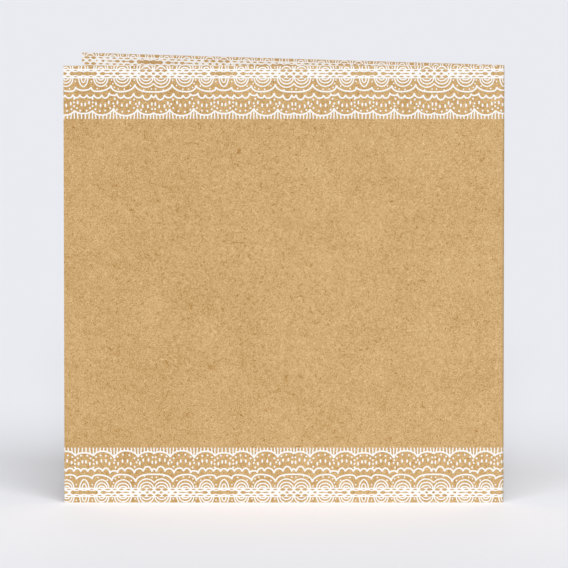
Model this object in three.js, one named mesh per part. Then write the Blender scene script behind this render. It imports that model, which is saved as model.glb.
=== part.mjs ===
// A square invitation card, folded once from one sheet of kraft board and stood up open.
// The plan of the sheet, seen from above, is drawn round its bend and raised to the card's height.
// The front leaf looks along -Y, the fold stands upright on the +X side, and the back leaf opens
// towards +Y. The origin is the middle of the footprint, on the surface that the card stands on.

import * as THREE from "three";

// Driving dimensions, in millimetres and degrees.
const leafWidth = 140; // from a leaf's free edge to the outside of the fold
const leafHeight = 140;
const boardThickness = 0.4; // board of about 300 g to the square metre
const openingAngle = 15.3; // between the two leaves
const foldRadius = 1.4; // outside of the bend, which springs back and stays soft
const scoreWidth = 1.6; // of the line scored along the fold, measured round the outside
const scoreDepth = 0.07; // of the channel that the scoring leaves on the outside
const beadHeight = 0.2; // of the ridge that the scoring raises on the inside

const bendSteps = 48; // straight lines that make up each side of the bend

const opening = THREE.MathUtils.degToRad(openingAngle);
const straightWidth = leafWidth - foldRadius; // the flat stretch of each leaf
const bendStart = -Math.PI / 2; // where the front leaf runs into the bend
const bendTurn = Math.PI - opening;

// A direction in plan, as an angle from +X.
function direction(angle) {
  return new THREE.Vector2(Math.cos(angle), Math.sin(angle));
}

// How deep the score is at an angle of the bend: 1 on its middle line, falling to 0 at its sides.
function score(angle) {
  const fromMiddle = foldRadius * Math.abs(angle - bendStart - bendTurn / 2);
  return fromMiddle < scoreWidth / 2
    ? (1 + Math.cos((2 * Math.PI * fromMiddle) / scoreWidth)) / 2
    : 0;
}

// One side of the bend, from the front leaf round to the back leaf, about the bend's centre.
function bendSide(radius, scored) {
  return Array.from({ length: bendSteps + 1 }, (_, step) => {
    const angle = bendStart + (bendTurn * step) / bendSteps;
    return direction(angle).multiplyScalar(radius - scored * score(angle));
  });
}

// The plan of the whole sheet: out along the front leaf, round the bend and along the back leaf
// on the outside, across the back leaf's free edge, and the same way back on the inside.
function sheetPlan() {
  const outside = bendSide(foldRadius, scoreDepth);
  const inside = bendSide(foldRadius - boardThickness, beadHeight).reverse();
  const toFrontEdge = direction(Math.PI).multiplyScalar(straightWidth);
  const toBackEdge = direction(Math.PI - opening).multiplyScalar(straightWidth);
  const [outsideFront, outsideBack] = [outside[0], outside[bendSteps]];
  const [insideBack, insideFront] = [inside[0], inside[bendSteps]];
  return [
    outsideFront.clone().add(toFrontEdge),
    ...outside,
    outsideBack.clone().add(toBackEdge),
    insideBack.clone().add(toBackEdge),
    ...inside,
    insideFront.clone().add(toFrontEdge),
  ];
}

function foldedCard() {
  const plan = sheetPlan();
  const middle = new THREE.Box2().setFromPoints(plan).getCenter(new THREE.Vector2());
  const shape = new THREE.Shape(plan.map((point) => point.clone().sub(middle)));
  const geometry = new THREE.ExtrudeGeometry(shape, {
    depth: leafHeight,
    bevelEnabled: false,
  });
  const kraft = new THREE.MeshStandardMaterial({
    color: "#cfaa76",
    roughness: 0.9,
    metalness: 0,
  });
  const mesh = new THREE.Mesh(geometry, kraft);
  mesh.name = "folded_card";
  return mesh;
}

const invitationCard = new THREE.Group();
invitationCard.name = "invitation_card";
invitationCard.add(foldedCard());

export default invitationCard;
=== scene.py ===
# Invitation card: one sheet of kraft board folded in two, with a white lace border printed on both sides
import math

import bpy
import numpy as np
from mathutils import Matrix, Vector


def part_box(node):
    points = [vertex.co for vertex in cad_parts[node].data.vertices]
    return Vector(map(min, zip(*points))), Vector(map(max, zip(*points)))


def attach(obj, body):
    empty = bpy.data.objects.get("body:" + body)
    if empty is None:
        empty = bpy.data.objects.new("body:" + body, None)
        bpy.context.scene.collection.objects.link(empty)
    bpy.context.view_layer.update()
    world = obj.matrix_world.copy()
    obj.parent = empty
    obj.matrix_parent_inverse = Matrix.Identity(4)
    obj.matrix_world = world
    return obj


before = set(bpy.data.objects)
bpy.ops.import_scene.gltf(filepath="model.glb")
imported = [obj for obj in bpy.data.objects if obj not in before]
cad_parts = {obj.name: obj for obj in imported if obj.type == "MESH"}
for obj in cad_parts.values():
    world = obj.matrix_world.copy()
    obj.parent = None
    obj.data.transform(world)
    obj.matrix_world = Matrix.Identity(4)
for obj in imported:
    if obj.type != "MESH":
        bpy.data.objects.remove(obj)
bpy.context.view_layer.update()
mm = 0.001


# Small helpers for node materials

def toLinear(red, green, blue):
    # the linear colour of an sRGB one given as 0 to 255
    srgb = np.array((red, green, blue)) / 255
    linear = np.where(srgb <= 0.04045, srgb / 12.92, ((srgb + 0.055) / 1.055) ** 2.4)
    return (*linear.tolist(), 1.0)


def newMaterial(name):
    material = bpy.data.materials.new(name)
    material.use_nodes = True
    nodes = material.node_tree.nodes
    nodes.clear()
    output = nodes.new("ShaderNodeOutputMaterial")
    shader = nodes.new("ShaderNodeBsdfPrincipled")
    material.node_tree.links.new(shader.outputs["BSDF"], output.inputs["Surface"])
    return material, shader


def addNode(material, kind, inputs=None, **settings):
    # a new node of a material or the world, with its settings, and its inputs as values or as the sockets
    # that feed them
    node = material.node_tree.nodes.new(kind)
    for key, value in settings.items():
        setattr(node, key, value)
    for key, value in (inputs or {}).items():
        if isinstance(value, bpy.types.NodeSocket):
            material.node_tree.links.new(value, node.inputs[key])
        else:
            node.inputs[key].default_value = value
    return node


def maths(material, operation, first, second=0.0):
    return addNode(material, "ShaderNodeMath", {0: first, 1: second}, operation=operation).outputs[0]


def remap(material, value, fromLow, fromHigh, toLow, toHigh):
    # straight line from one range to another, held at both ends
    inputs = {"Value": value, "From Min": fromLow, "From Max": fromHigh}
    inputs |= {"To Min": toLow, "To Max": toHigh}
    return addNode(material, "ShaderNodeMapRange", inputs).outputs["Result"]


def noise(material, place, perMm, detail):
    # smooth noise about 0.5, with perMm spots to the millimetre and detail finer layers on top
    inputs = {"Vector": place, "Scale": perMm, "Detail": detail}
    return addNode(material, "ShaderNodeTexNoise", inputs).outputs["Fac"]


def placeInMm(material, shift=(0.0, 0.0, 0.0)):
    # object coordinates in millimetres, moved so that layers don't repeat each other
    coords = addNode(material, "ShaderNodeTexCoord").outputs["Object"]
    return addNode(
        material, "ShaderNodeMapping", {"Vector": coords, "Location": shift, "Scale": (1000, 1000, 1000)}
    ).outputs["Vector"]


# the card's box, in millimetres
cardLow, cardHigh = (np.array(corner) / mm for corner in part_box("folded_card"))
cardWidth = float(cardHigh[0] - cardLow[0])
cardHeight = float(cardHigh[2] - cardLow[2])


# Kraft board: brown pulp, mottled at several sizes, with dark and pale fibres and a few specks

kraft = {
    "colour": (206.3, 169.5, 116.3),
    "shade": (174, 166, 141),  # added or taken away as the brightness goes above or below 1
    # the mottling, broad to fine: its share of the brightness, spots to the millimetre and finer layers
    "mottling": ((0.14, 0.07, 2.0), (0.15, 0.45, 3.0), (0.98, 4.75, 1.0)),
    "paintedLightToFold": 0.03,  # painted light: the board is drawn a little paler towards the fold, as if lit more strongly from that side
    "edgeWearAndSheen": 0.10,  # rubbed pale fibres along the cut edges and the fold, and a painted highlight where those edges catch the light
    "edgeBandWidth": 0.5,  # millimetres
    "edgeBandShift": 0.6,  # moves the pale edge band's broken line outwards
    "darkFibre": 0.30,
    "paleFibre": 0.16,
    # each layer of fibres: shift in millimetres, spots to the millimetre, relative width, and how much of
    # each fibre is kept
    "darkLayers": (
        ((13, 47, 5), 0.34, 0.026, 0.38),
        ((71, 3, 29), 0.48, 0.034, 0.36),
        ((37, 91, 59), 0.70, 0.048, 0.34),
    ),
    "paleLayers": (
        ((19, 83, 67), 0.40, 0.040, 0.40),
        ((97, 31, 11), 0.62, 0.056, 0.38),
    ),
    "fibreCore": 0.35,  # of a fibre's width that has its full colour
    "fibreCuts": 1.7,  # spots of the noise that cuts a fibre short, to each spot of its own
    "fibreFade": 0.05,  # at a fibre's ends
    "speck": 0.18,
    "specksPerMm": 0.55,
    "speckSize": (0.05, 0.12),  # dark out to the first, gone at the second, in cells
    "speckShare": 0.2,  # of the cells that have one
    "roughness": 0.88,
    "specular": 0.25,
    "bump": 0.25,
    "bumpHeight": 0.00004,  # metres
}


def fibreLayer(material, shift, perMm, width, kept):
    # thin curved hairs: the level line of a smooth noise, cut to short lengths by a second noise
    level = maths(material, "SUBTRACT", noise(material, placeInMm(material, shift), perMm, 0.0), 0.5)
    fromLine = maths(material, "ABSOLUTE", level)
    hair = remap(material, fromLine, width * kraft["fibreCore"], width, 1.0, 0.0)
    otherPlace = placeInMm(material, (shift[2], shift[0], shift[1]))
    cuts = noise(material, otherPlace, perMm * kraft["fibreCuts"], 0.0)
    piece = remap(material, cuts, 1 - kept, 1 - kept + kraft["fibreFade"], 0.0, 1.0)
    return maths(material, "MULTIPLY", hair, piece)


def speckLayer(material, place):
    # round specks in the middles of cells, in a share of the cells picked by their random colour
    inputs = {"Vector": place, "Scale": kraft["specksPerMm"]}
    cells = addNode(material, "ShaderNodeTexVoronoi", inputs).outputs
    spot = remap(material, cells["Distance"], *kraft["speckSize"], 1.0, 0.0)
    pick = addNode(material, "ShaderNodeSeparateColor", {"Color": cells["Color"]}).outputs[0]
    picked = remap(material, pick, 1 - kraft["speckShare"], 1.02 - kraft["speckShare"], 0.0, 1.0)
    return maths(material, "MULTIPLY", spot, picked)


def wornAndSheenEdges(material, x, z, mottle):
    # worn and lit edges, partly painted highlight: nearly 1 on the cut edges above and below and on the
    # fold, falling to 0 about the band's width in, and broken up by the mottle
    fromMiddle = maths(material, "ABSOLUTE", maths(material, "SUBTRACT", z, cardHeight / 2))
    fromCut = maths(material, "SUBTRACT", cardHeight / 2, fromMiddle)
    fromFold = maths(material, "SUBTRACT", cardWidth / 2, x)
    nearest = maths(material, "MINIMUM", fromCut, fromFold)
    broken = maths(material, "SUBTRACT", nearest, mottle)
    full = -kraft["edgeBandShift"]
    return remap(material, broken, full, full + kraft["edgeBandWidth"], 1.0, 0.0)


def makeKraft():
    material, shader = newMaterial("kraft_board")
    place = placeInMm(material)
    x, y, z = addNode(material, "ShaderNodeSeparateXYZ", {"Vector": place}).outputs
    mottling = [
        (noise(material, place, perMm, detail), share) for share, perMm, detail in kraft["mottling"]
    ]
    edgeWearSheen = wornAndSheenEdges(material, x, z, mottling[1][0])

    # brightness: 1 plus each layer's share. It shifts red, green and blue by about the same step on the
    # screen, as in real pulp, so pale fibres are less yellow than the board and dark ones are redder
    # painted light: brightness rises in a straight line across the card towards the fold
    paintedLightToFold = kraft["paintedLightToFold"]
    bright = remap(material, x, -cardWidth / 2, cardWidth / 2, 1 - paintedLightToFold, 1 + paintedLightToFold)
    # pale edges: rubbed fibres plus a painted highlight on the cut edges and the fold
    bright = maths(material, "ADD", bright, maths(material, "MULTIPLY", edgeWearSheen, kraft["edgeWearAndSheen"]))
    for layer, share in mottling:
        centred = maths(material, "SUBTRACT", layer, 0.5)
        bright = maths(material, "ADD", maths(material, "MULTIPLY", centred, 2 * share), bright)
    for row in kraft["darkLayers"]:
        fibres = maths(material, "MULTIPLY", fibreLayer(material, *row), kraft["darkFibre"])
        bright = maths(material, "SUBTRACT", bright, fibres)
    for row in kraft["paleLayers"]:
        fibres = maths(material, "MULTIPLY", fibreLayer(material, *row), kraft["paleFibre"])
        bright = maths(material, "ADD", bright, fibres)
    specks = maths(material, "MULTIPLY", speckLayer(material, place), kraft["speck"])
    bright = maths(material, "SUBTRACT", bright, specks)

    change = maths(material, "SUBTRACT", bright, 1.0)
    inputs = {0: toLinear(*kraft["shade"])[:3], "Scale": change}
    shift = addNode(material, "ShaderNodeVectorMath", inputs, operation="SCALE").outputs["Vector"]
    inputs = {0: toLinear(*kraft["colour"])[:3], 1: shift}
    colour = addNode(material, "ShaderNodeVectorMath", inputs, operation="ADD").outputs["Vector"]
    inputs = {"Height": bright, "Strength": kraft["bump"], "Distance": kraft["bumpHeight"]}
    bump = addNode(material, "ShaderNodeBump", inputs).outputs["Normal"]
    material.node_tree.links.new(colour, shader.inputs["Base Color"])
    material.node_tree.links.new(bump, shader.inputs["Normal"])
    shader.inputs["Roughness"].default_value = kraft["roughness"]
    shader.inputs["Specular IOR Level"].default_value = kraft["specular"]
    return material


# White ink

ink = {
    "colour": (253, 253, 252),
    "thinnest": 0.97,  # brightness where the ink covers least
    "patchesPerMm": 1.8,
    "roughness": 0.7,
}


def makeInk():
    material, shader = newMaterial("white_ink")
    patches = noise(material, placeInMm(material), ink["patchesPerMm"], 2.0)
    cover = remap(material, patches, 0.2, 0.8, ink["thinnest"], 1.0)  # the noise stays between 0.2 and 0.8
    inputs = {0: toLinear(*ink["colour"])[:3], "Scale": cover}
    colour = addNode(material, "ShaderNodeVectorMath", inputs, operation="SCALE").outputs["Vector"]
    material.node_tree.links.new(colour, shader.inputs["Base Color"])
    shader.inputs["Roughness"].default_value = ink["roughness"]
    return material


# The sheet that the border is printed on, as it stands folded

sheet = {
    "foldRadius": 1.4,  # millimetres, the same as the solid's
    "thickness": 0.4,
    "openingAngle": 15.3,  # degrees
    "scoreWidth": 1.6,
    "scoreDepth": 0.07,
    "scoreInset": 0.051,  # what the score takes off the width of the card's box
    "beadHeight": 0.2,
}
opening = math.radians(sheet["openingAngle"])
bendTurn = math.pi - opening
leafStraight = cardWidth + sheet["scoreInset"] - sheet["foldRadius"]
bendCentre = (cardLow[0] + leafStraight, cardLow[1] + sheet["foldRadius"])


def bendRadius(inside):
    return sheet["foldRadius"] - (sheet["thickness"] if inside else 0)


def sheetLength(inside):
    # from the front leaf's free edge, round the bend, to the back leaf's
    return 2 * leafStraight + bendRadius(inside) * bendTurn


def onSheet(along, up, lift, inside):
    # places on the folded sheet: along the front leaf, then by angle round the bend, whose radius gives
    # way to the score or its bead, then along the back leaf. Lift is the height off the printed side
    radius = bendRadius(inside)
    angle = np.clip((along - leafStraight) / radius, 0, bendTurn)
    before = np.minimum(along - leafStraight, 0)
    after = np.maximum(along - leafStraight - radius * bendTurn, 0)
    fromScore = sheet["foldRadius"] * np.abs(angle - bendTurn / 2) / sheet["scoreWidth"]
    score = np.where(fromScore < 0.5, (1 + np.cos(2 * np.pi * fromScore)) / 2, 0)
    depth = (sheet["beadHeight"] if inside else sheet["scoreDepth"]) * score
    reach = radius - depth + (-lift if inside else lift)
    x = bendCentre[0] + before + reach * np.sin(angle) - after * math.cos(opening)
    y = bendCentre[1] - reach * np.cos(angle) + after * math.sin(opening)
    return np.stack((x, y, up), -1)


# Lace border. One half of its repeat is drawn, from the middle of a bar to the middle of a pair of
# rings: s runs along the card from the bar's middle, and d from the border's axis towards the card's
# middle, both in millimetres

lace = {
    "repeat": 44.54,  # millimetres
    "firstBar": {"outside": 6.31, "inside": -9.8},  # from the front leaf's free edge
    "topAxis": {"outside": 2.48, "inside": 2.43},  # from the top edge
    "bottomAxis": 3.23,  # from the bottom edge
    "line": 0.40,
    "boldLine": 0.50,
    "inkHeight": 0.022,
    "layerStep": 0.002,  # strokes that cross lie at different heights
    "copyStep": 0.06,  # and so do mirrored copies, by this share of the height
    "stepLength": 0.42,  # of a curve's straight pieces
}
# openings in the woven axis, as middle, half length and half height; the bar has blunt ends
axisHoles = (
    (6.15, 1.00, 0.50), (7.60, 1.35, 0.16), (8.75, 0.66, 0.38), (10.80, 0.84, 0.42), (12.00, 0.90, 0.10),
    (13.30, 1.10, 0.22), (15.55, 0.60, 0.32), (17.70, 0.30, 0.26), (20.05, 0.55, 0.38), (22.27, 0.50, 0.40),
)
axisBar = {"halfLength": 4.42, "halfHeight": 0.56, "waveLength": 2.6, "waveHeight": -0.13, "bluntness": 14}
rowHoles = (
    (0.00, 0.35, 0.10), (2.44, 0.56, 0.17), (4.90, 0.70, 0.19), (7.48, 0.97, 0.21), (9.66, 0.70, 0.22),
    (11.86, 0.72, 0.25), (14.06, 0.68, 0.22), (16.35, 0.72, 0.23), (18.77, 0.90, 0.44), (21.00, 0.94, 0.41),
)
axisBand = {"rowMiddle": 0.96, "edge": 1.52, "step": 0.13, "holeRoundness": 0.8}
# nested rings hang from the axis band: middle, then half width and depth of each
rings = {
    "top": 1.40,
    "point": 0.25,  # draws the first group's outer ring to a point
    "groups": (
        (0.00, ((0.66, 1.42), (1.46, 2.78))),
        (5.55, ((0.84, 0.66), (1.60, 1.63), (2.24, 2.66))),
        (12.34, ((1.10, 0.58), (1.90, 1.55), (2.66, 2.64))),
        (19.90, ((1.36, 0.88), (2.12, 1.88), (2.90, 2.95))),
    ),
}
# rows of scallops: the cusps as s and d, and each scallop's sag, flatness and lean, from the bar outwards
bigScallops = {
    "cusps": ((-2.50, 4.25), (2.50, 4.25), (8.80, 3.70), (16.37, 3.35), (28.17, 3.35)),
    "sags": ((1.10, 2.0, 1.0), (1.60, 2.2, 0.75), (2.22, 2.4, 0.88), (2.48, 3.2, 1.0)),
    "sharpness": 0.55,  # of the cusps: lower is sharper
}
smallScallops = {
    "cusps": (
        (-1.10, 6.70), (1.10, 6.70), (3.32, 6.70), (5.83, 6.75), (8.22, 6.10), (10.60, 6.32), (12.88, 6.80),
        (15.97, 6.20), (18.80, 6.75), (21.56, 6.70), (22.98, 6.70),
    ),
    "sags": (
        (0.95, 2.2, 1.0), (1.00, 2.2, 1.0), (1.05, 2.2, 1.0), (1.40, 2.2, 1.15), (0.72, 4.0, 1.0),
        (1.20, 2.6, 0.90), (1.30, 2.4, 1.0), (1.20, 2.4, 0.85), (1.62, 2.2, 1.0), (0.90, 2.0, 1.0),
    ),
    "sharpness": 0.68,
}
lowScallops = {
    "cusps": ((-2.90, 11.70), (2.90, 11.70), (9.55, 11.05), (17.16, 11.30), (22.27, 12.40)),
    "sags": ((1.05, 2.2, 1.0), (1.85, 2.2, 1.0), (2.25, 2.2, 0.95), (1.20, 2.2, 0.85)),
    "sharpness": 0.72,
    "ticks": (5, 6, 7, 5),
}
fringe = {
    "end": 14.45,
    "fan": 0.40,  # how far the ticks spread out from the cusps
    "fanPower": 1.5,  # higher keeps the spread closer to the cusps
}
# spots of ink as s and d: seeds between the rings and the big scallops, then three kinds of grain
seeds = (
    (2.54, 2.50), (4.40, 4.80), (7.40, 3.95), (8.95, 2.02), (9.37, 3.14), (9.87, 4.40), (11.08, 4.92),
    (13.00, 5.00), (14.98, 3.83), (16.18, 2.07), (19.15, 5.22), (21.60, 4.92),
)
uprightGrains = (
    (0.55, 9.86), (1.80, 9.25), (4.00, 9.60), (5.46, 10.15), (6.92, 10.12), (8.05, 9.22), (10.82, 9.25),
    (12.20, 10.10), (13.80, 10.10), (14.82, 9.25), (17.72, 9.40), (18.82, 10.38), (20.48, 10.50),
    (21.72, 9.72),
)
roundGrains = (
    (1.02, 11.82), (2.06, 11.00), (3.80, 11.38), (5.22, 11.93), (6.92, 11.80), (8.52, 11.00),
    (10.62, 11.50), (12.34, 12.15), (14.38, 11.98), (16.02, 11.00), (18.30, 11.60), (19.88, 12.12),
    (21.80, 11.30),
)
cuspGrains = (
    (2.95, 8.05), (2.98, 9.20), (2.93, 10.38), (9.98, 8.02), (9.50, 9.50), (9.75, 10.40), (16.10, 8.27),
    (16.66, 9.70), (17.20, 10.42),
)
# half width and half height of each kind
spotSizes = {"seed": (0.26, 0.26), "upright": (0.31, 0.62), "round": (0.32, 0.32), "cusp": (0.31, 0.35)}


def sagAt(t, sag, flat, lean, sharpness):
    # how far a scallop hangs at a share t of its span: sag times (1 - |1 - 2u| to the power flat), itself
    # to the power of the cusps' sharpness, where u is t to the power lean
    return sag * (1 - np.abs(1 - 2 * t ** lean) ** flat) ** sharpness


def scallop(start, end, sag, sharpness, count):
    # the straight line between two cusps, hung by sagAt, with its points closer together near the cusps
    t = (1 - np.cos(np.linspace(0, np.pi, count))) / 2
    line = np.outer(1 - t, start) + np.outer(t, end)
    line[:, 1] += sagAt(t, *sag, sharpness)
    return line


def scallopRow(row):
    # all scallops of a row, each with a few points more than its length asks for
    cusps = row["cusps"]
    strokes = []
    for start, end, sag in zip(cusps, cusps[1:], row["sags"]):
        count = int(math.ceil((end[0] - start[0] + sag[0]) / lace["stepLength"])) + 4
        strokes.append(scallop(start, end, sag, row["sharpness"], count))
    return strokes


def ringStrokes():
    # half ellipses on the card's side of the axis band; the first group's outer one comes to a point
    strokes = []
    for middle, sizes in rings["groups"]:
        for index, (halfWidth, depth) in enumerate(sizes):
            count = int(math.ceil(math.pi * (halfWidth + depth) / 2 / lace["stepLength"])) + 3
            t = np.linspace(0, math.pi, count)
            pointed = middle == 0 and index == len(sizes) - 1
            side = np.cos(t) * (np.abs(np.cos(t)) ** rings["point"] if pointed else 1)
            strokes.append(np.stack((middle + halfWidth * side, rings["top"] + depth * np.sin(t)), -1))
    return strokes


def fringeStrokes():
    # short straight ticks from the low scallops to the fringe's end. At the scallop each is drawn towards
    # the nearer cusp, by fan times |1 - 2 share| to the power fanPower
    strokes = []
    cusps = lowScallops["cusps"]
    for start, end, sag, ticks in zip(cusps, cusps[1:], lowScallops["sags"], lowScallops["ticks"]):
        span = end[0] - start[0]
        for share in np.arange(ticks + 1) / ticks:
            side = 1 - 2 * share
            pull = fringe["fan"] * np.sign(side) * abs(side) ** fringe["fanPower"]
            top = np.clip(share - (pull / span if 0 < share < 1 else 0), 0, 1)
            d = start[1] + top * (end[1] - start[1]) + sagAt(top, *sag, lowScallops["sharpness"])
            tick = ((start[0] + top * span, d), (start[0] + share * span, fringe["end"]))
            strokes.append(np.array(tick))
    return strokes


def cutAtMirrors(line):
    # keeps what lies between the two mirror lines of the half repeat, with a new point where a stroke
    # meets one
    count = np.arange(len(line), dtype=float)
    for bound in (0, lace["repeat"] / 2):
        past = line[:, 0] - bound
        at = np.nonzero(past[:-1] * past[1:] < 0)[0]
        count = np.concatenate((count, at + past[at] / (past[at] - past[at + 1])))
    count = np.unique(count.round(9))
    line = np.stack([np.interp(count, np.arange(len(line)), column) for column in line.T], -1)
    return line[(line[:, 0] > -1e-6) & (line[:, 0] < lace["repeat"] / 2 + 1e-6)]


def ribbon(points, width):
    # the two edges of a stroke: half its width to each side of its line
    along = np.gradient(points, axis=0)
    along /= np.linalg.norm(along, axis=1, keepdims=True)
    across = np.stack((-along[:, 1], along[:, 0]), -1) * width / 2
    return points + across, points - across


def holeEdge(s, holes):
    # half height of the opening at s: an ellipse drawn out a little at both ends
    middle, halfLength, halfHeight = (np.array(column)[:, None] for column in zip(*holes))
    share = 1 - np.clip(((s - middle) / halfLength) ** 2, 0, 1)
    return (halfHeight * share ** axisBand["holeRoundness"]).max(0)


def axisStripes():
    # the woven axis: one stripe from the axis openings to the row openings, and one from those to the
    # edge. The bar is a box with a wave on its edges: 1 - |s / half length| to the power of its bluntness
    s = np.arange(0, lace["repeat"] / 2 + axisBand["step"], axisBand["step"])
    barShare = 1 - np.clip(np.abs(s) / axisBar["halfLength"], 0, 1) ** axisBar["bluntness"]
    wave = axisBar["waveHeight"] * np.cos(2 * np.pi * s / axisBar["waveLength"])
    bar = (axisBar["halfHeight"] + wave) * barShare
    inner = np.maximum(holeEdge(s, axisHoles), bar)
    row = holeEdge(s, rowHoles)
    rowMiddle = axisBand["rowMiddle"]
    edges = (inner, rowMiddle - row, rowMiddle + row, np.full_like(s, axisBand["edge"]))
    lines = [np.stack((s, edge), -1) for edge in edges]
    return [(lines[1], lines[0]), (lines[3], lines[2])]


def stripMesh(left, right, height):
    # a low strip of ink with a flat top and sloping sides, as points (s, d, height) and faces of four
    count = len(left)
    slope = (right - left) * 0.12  # each side slopes over this share of the width
    rows = np.stack((left, left + slope, right - slope, right), 1)
    lift = np.broadcast_to(np.array((0, height, height, 0))[None, :, None], (count, 4, 1))
    points = np.concatenate((rows, lift), 2).reshape(-1, 3)
    i = np.arange(count - 1)[:, None] * 4
    j = np.arange(4)[None, :]
    k = (j + 1) % 4
    sides = np.stack((i + j, i + k, i + 4 + k, i + 4 + j), -1).reshape(-1, 4)
    ends = np.array(((3, 2, 1, 0), (4 * count - 4, 4 * count - 3, 4 * count - 2, 4 * count - 1)))
    return points, np.concatenate((sides, ends))


def spotMesh(middles, halfSizes, height, corners=10):
    # low round spots of ink: a ring on the board, a smaller one at the ink's height, and lids of
    # four-cornered faces
    shoulder = 0.86  # size of the flat top to that of the spot
    turn = np.arange(corners) * 2 * np.pi / corners
    ring = np.stack((np.cos(turn), np.sin(turn)), -1) * halfSizes[:, None, :]
    levels = []
    for size, lift in ((1, 0.0), (shoulder, height)):
        flat = middles[:, None, :] + ring * size
        levels.append(np.concatenate((flat, np.full((*flat.shape[:2], 1), lift)), 2))
    points = np.concatenate(levels, 1).reshape(-1, 3)
    j = np.arange(corners)
    k = (j + 1) % corners
    walls = np.stack((j, k, corners + k, corners + j), -1)
    half = corners // 2
    step = np.arange(half - 1)
    top = np.stack((step, step + 1, (corners - 2 - step), (corners - 1 - step)), -1)
    faces = np.concatenate((walls, corners + top, top[:, ::-1]))
    start = np.arange(len(middles))[:, None, None] * 2 * corners
    return points, (faces[None] + start).reshape(-1, 4)


def halfRepeat():
    # all the ink of one half repeat, as points and faces. Strokes that cross take turns between heights:
    # two for each kind of line, then the axis, then the spots
    def heightAt(step):
        return lace["inkHeight"] + lace["layerStep"] * step

    parts = []
    kinds = [(ringStrokes(), lace["line"]), (fringeStrokes(), lace["line"])]
    kinds += [(scallopRow(row), lace["boldLine"]) for row in (bigScallops, smallScallops, lowScallops)]
    for layer, (lines, width) in enumerate(kinds):
        for index, line in enumerate(lines):
            line = cutAtMirrors(line)
            if len(line) > 1:
                parts.append(stripMesh(*ribbon(line, width), heightAt(layer * 2 + index % 2)))
    axisHeight = 2 * len(kinds)
    for index, (left, right) in enumerate(axisStripes()):
        parts.append(stripMesh(left, right, heightAt(axisHeight + index)))
    spotKinds = {"seed": seeds, "upright": uprightGrains, "round": roundGrains, "cusp": cuspGrains}
    spots = np.array([(*at, *spotSizes[kind]) for kind, places in spotKinds.items() for at in places])
    parts.append(spotMesh(spots[:, :2], spots[:, 2:], heightAt(axisHeight + 2)))
    starts = np.cumsum([0] + [len(points) for points, faces in parts])
    return (np.concatenate([points for points, faces in parts]),
            np.concatenate([faces + start for (points, faces), start in zip(parts, starts)]))


def borderPiece(name, inside, axisUp, inwards, material):
    # one border on one side of the sheet: the half repeat mirrored about the bar and about the axis, and
    # repeated along the sheet's length
    points, faces = halfRepeat()
    length = sheetLength(inside)
    firstBar = lace["firstBar"]["inside" if inside else "outside"]
    bars = firstBar + lace["repeat"] * np.arange(-1, int(length / lace["repeat"]) + 2)
    allPoints = []
    allFaces = []
    for bar in bars:
        for mirror in (1, -1):
            for side in (1, -1):
                turned = mirror * side * inwards < 0
                allFaces.append((faces[:, ::-1] if turned else faces) + len(points) * len(allPoints))
                along = bar + mirror * points[:, 0]
                up = axisUp + side * inwards * points[:, 1]
                lift = points[:, 2] * (1 + (lace["copyStep"] if mirror == 1 else 0))
                allPoints.append(np.stack((along, up, lift), -1))
    points, faces = np.concatenate(allPoints), np.concatenate(allFaces)
    # what lies past the sheet's edges is cut off, and what crosses them ends at the edge
    alongMiddle, upMiddle, liftMiddle = points[faces].mean(1).T
    kept = (alongMiddle > 0) & (alongMiddle < length) & (upMiddle > 0) & (upMiddle < cardHeight)
    used, faces = np.unique(faces[kept], return_inverse=True)
    points = points[used]
    faces = faces.reshape(-1, 4)
    along = np.clip(points[:, 0], 0, length)
    up = np.clip(points[:, 1], 0, cardHeight)
    places = onSheet(along, up, points[:, 2], inside) * mm
    if inside:
        faces = faces[:, ::-1]
    mesh = bpy.data.meshes.new(name)
    mesh.from_pydata(places, [], faces.tolist())
    mesh.materials.append(material)
    piece = bpy.data.objects.new(name, mesh)
    bpy.context.scene.collection.objects.link(piece)
    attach(piece, "root")
    print(name, len(faces), "faces")


kraftMaterial = makeKraft()
inkMaterial = makeInk()
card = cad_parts["folded_card"]
for materialSlot in card.material_slots:
    materialSlot.material = kraftMaterial
print("kraft board on", len(card.material_slots), "slot")

for sideName, inside in (("outside", False), ("inside", True)):
    topAxis = cardHeight - lace["topAxis"][sideName]
    borderPiece("lace_top_" + sideName, inside, topAxis, -1, inkMaterial)
    borderPiece("lace_bottom_" + sideName, inside, lace["bottomAxis"], 1, inkMaterial)


# Stage: a pale floor, an even sky, three soft suns from the front and a weaker one from behind

stage = {
    "colour": (234, 235, 240),
    "floorColour": (247.5, 248.9, 254.8),
    "floorBounce": (188, 188, 190),  # what the card gets from the floor
    "floorRadius": 9.0,
    "sky": 0.24,  # strength of the even white
    "lights": (
        {"name": "key_light", "strength": 1.30, "turn": 20, "height": 50, "spread": 34},
        {"name": "fill_light", "strength": 0.82, "turn": -20, "height": 50, "spread": 34},
        {"name": "front_light", "strength": 0.82, "turn": 0, "height": 20, "spread": 8},
        {"name": "back_light", "strength": 0.40, "turn": 180, "height": 15, "spread": 24},
    ),
}


def seenDirectly(material):
    # 1 for the camera's rays and for those that come by a mirror or through glass, 0 for scattered light
    path = addNode(material, "ShaderNodeLightPath").outputs
    mirrored = maths(material, "MAXIMUM", path["Is Glossy Ray"], path["Is Transmission Ray"])
    return maths(material, "MAXIMUM", path["Is Camera Ray"], mirrored)


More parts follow.
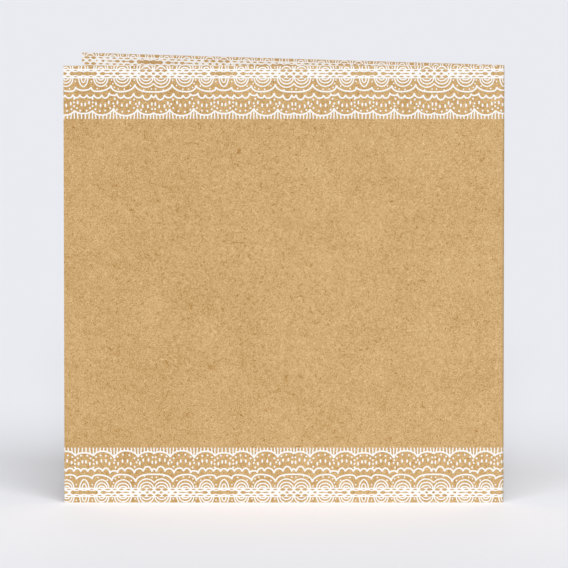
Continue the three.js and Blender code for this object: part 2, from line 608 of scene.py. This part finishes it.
def makeFloor():
    # a flat round floor
    corners = 64
    mesh = bpy.data.meshes.new("floor")
    turn = np.linspace(0, 2 * np.pi, corners, endpoint=False)
    rim = np.stack((np.cos(turn), np.sin(turn), np.zeros(corners)), -1) * stage["floorRadius"]
    mesh.from_pydata(rim, [], [list(range(corners))])
    material, shader = newMaterial("pale_floor")
    # a colour mix has its share in socket 0, its colours in 6 and 7, and its result in output 2
    inputs = {0: seenDirectly(material)}
    inputs |= {6: toLinear(*stage["floorBounce"]), 7: toLinear(*stage["floorColour"])}
    mix = addNode(material, "ShaderNodeMix", inputs, data_type="RGBA")
    material.node_tree.links.new(mix.outputs[2], shader.inputs["Base Color"])
    shader.inputs["Roughness"].default_value = 1.0
    shader.inputs["Specular IOR Level"].default_value = 0.0
    mesh.materials.append(material)
    floor = bpy.data.objects.new("floor", mesh)
    bpy.context.scene.collection.objects.link(floor)


def makeSky():
    # the camera, mirrors and glass see the stage's colour, and the card is lit by an even white
    world = bpy.data.worlds.new("pale_room")
    bpy.context.scene.world = world
    world.use_nodes = True
    world.node_tree.nodes.clear()
    white = (1.0, 1.0, 1.0, 1.0)
    lit = addNode(world, "ShaderNodeBackground", {"Color": white, "Strength": stage["sky"]})
    seen = addNode(world, "ShaderNodeBackground", {"Color": toLinear(*stage["colour"])})
    inputs = {0: seenDirectly(world), 1: lit.outputs[0], 2: seen.outputs[0]}
    mix = addNode(world, "ShaderNodeMixShader", inputs)
    addNode(world, "ShaderNodeOutputWorld", {"Surface": mix.outputs[0]})


def makeLights():
    # turn is to the right of the camera's side, height is above the floor, and spread is how wide the sun
    # looks, all in degrees
    for light in stage["lights"]:
        lamp = bpy.data.lights.new(light["name"], "SUN")
        lamp.energy = light["strength"]
        lamp.angle = math.radians(light["spread"])
        holder = bpy.data.objects.new(light["name"], lamp)
        tilt = math.radians(90 - light["height"])
        holder.rotation_euler = (tilt, 0, math.radians(light["turn"]))
        bpy.context.scene.collection.objects.link(holder)


camera = {
    "distance": 3.5,  # metres
    "tilt": 7.37,  # degrees down
    "aimHeight": 0.0677,  # metres
    "lens": 693.6,  # millimetres, on a 36 mm sensor
}


def makeCamera():
    data = bpy.data.cameras.new("camera")
    data.lens = camera["lens"]
    data.sensor_width = 36
    data.clip_start, data.clip_end = 0.1, 40
    holder = bpy.data.objects.new("camera", data)
    tilt = math.radians(camera["tilt"])
    holder.location = (
        0,
        -camera["distance"] * math.cos(tilt),
        camera["aimHeight"] + camera["distance"] * math.sin(tilt),
    )
    holder.rotation_euler = (math.pi / 2 - tilt, 0, 0)
    bpy.context.scene.collection.objects.link(holder)
    bpy.context.scene.camera = holder


makeFloor()
makeSky()
makeLights()
makeCamera()
bpy.context.scene.view_settings.view_transform = "Standard"
print("stage, lights and camera are in place")
